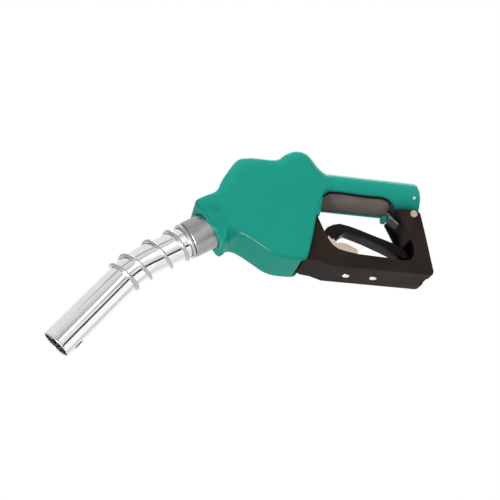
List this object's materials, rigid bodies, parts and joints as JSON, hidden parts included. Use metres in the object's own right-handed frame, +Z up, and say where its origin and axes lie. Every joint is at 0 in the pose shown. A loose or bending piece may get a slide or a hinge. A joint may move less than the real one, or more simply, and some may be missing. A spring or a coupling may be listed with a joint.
{
  "type": "fuel nozzle",
  "caption": "Automatic shut-off fuel nozzle with a green insulator over a cast body, a bent metal spout with an anchor spring, a squeeze lever and an open lever guard.",
  "frame": {"origin": "centre of the hose inlet's mouth, at the rear end of the handle", "axes": "+X out of the hose inlet, along the handle towards the hose; +Z up; +Y to the right of a person who holds the handle; the XZ plane is the plane of symmetry"},
  "size_m": [0.3678, 0.0518, 0.2281],
  "materials": {
    "cast_black": "black paint on a casting",
    "black_plastic": "moulded",
    "cast_aluminium": "as-cast, lightly blasted",
    "green_vinyl": "glossy moulded vinyl, teal green",
    "grip_rubber": "worn matt rubber, taupe",
    "guard_black": "satin black paint on pressed steel",
    "lever_black": "glossy black coating",
    "zinc_steel": "zinc plated, slightly yellow",
    "bright_rivet": "bright",
    "polished_aluminium": "polished",
    "polished_steel": "polished wire",
    "turned_aluminium": "fine turned, satin",
    "stainless_steel": "machined",
    "spring_steel": "drawn wire",
    "valve_brass": "machined",
    "seal_rubber": "moulded",
    "packing_white": "pressed"
  },
  "bodies": {
    "nozzle": {"body_casting": "cast_black", "insulator_cover": "green_vinyl", "grip_pad": "grip_rubber", "lever_guard": "guard_black", "guard_screws": "zinc_steel", "hold_open_rack": "zinc_steel", "rack_rivets": "bright_rivet", "cover_rivet": "bright_rivet", "valve_seat": "valve_brass", "valve_cap": "cast_aluminium", "valve_cap_seal": "seal_rubber", "stem_packing": "packing_white", "packing_nut": "valve_brass", "diaphragm": "seal_rubber", "diaphragm_cap": "cast_aluminium", "diaphragm_cap_screws": "stainless_steel", "latch_sleeve": "valve_brass", "latch_spring": "spring_steel", "spout_nut": "turned_aluminium", "spout_adapter": "cast_aluminium", "spout_seal": "seal_rubber", "spout_tube": "polished_aluminium", "anchor_spring": "polished_steel", "vent_tube": "stainless_steel", "port_fitting": "black_plastic", "check_seat": "valve_brass", "plunger_spring": "spring_steel", "main_spring": "spring_steel", "check_spring": "spring_steel"},
    "plunger": {"latch_plunger": "stainless_steel", "lever_pin": "stainless_steel", "latch_balls": "stainless_steel"},
    "lever": {"lever": "lever_black", "clip_pin": "stainless_steel", "clip_spring": "spring_steel"},
    "clip": {"hold_open_clip": "zinc_steel"},
    "valve": {"valve_stem": "stainless_steel", "main_poppet": "valve_brass", "poppet_disc": "seal_rubber", "poppet_nut": "stainless_steel"},
    "check": {"check_poppet": "valve_brass"},
    "latch": {"latch_pin": "stainless_steel"}
  },
  "joints": [
    {"name": "latch_drop", "type": "slide", "parent": "nozzle", "child": "plunger", "axis": [0.309, 0, -0.9511], "range_m": [0, 0.006], "stiffness_N_per_m": 800, "springref_m": -0.01, "deforming": ["plunger_spring"]},
    {"name": "lever_pivot", "type": "hinge", "parent": "plunger", "child": "lever", "pos_m": [-0.14, 0, -0.065], "axis": [0, -1, 0], "range_deg": [0, 12], "stiffness_Nm_per_rad": 2, "springref_deg": -17.19},
    {"name": "clip_pivot", "type": "hinge", "parent": "lever", "child": "clip", "pos_m": [-0.097, 0, -0.057], "axis": [0, -1, 0], "range_deg": [0, 50], "stiffness_Nm_per_rad": 0.02, "springref_deg": -17.19},
    {"name": "valve_lift", "type": "slide", "parent": "nozzle", "child": "valve", "axis": [-0.1219, 0, 0.9925], "range_m": [0, 0.0048], "deforming": ["main_spring"]},
    {"name": "check_opening", "type": "slide", "parent": "nozzle", "child": "check", "axis": [-0.8387, 0, -0.5446], "range_m": [0, 0.008], "stiffness_N_per_m": 100, "springref_m": -0.01, "deforming": ["check_spring"]},
    {"name": "latch_release", "type": "slide", "parent": "nozzle", "child": "latch", "axis": [-0.309, 0, 0.9511], "range_m": [0, 0.0015], "stiffness_N_per_m": 500, "springref_m": -0.002, "deforming": ["latch_spring"]}
  ],
  "couplings": [
    {"joint": "valve_lift", "follows": "lever_pivot", "m_per_rad": 0.022}
  ]
}
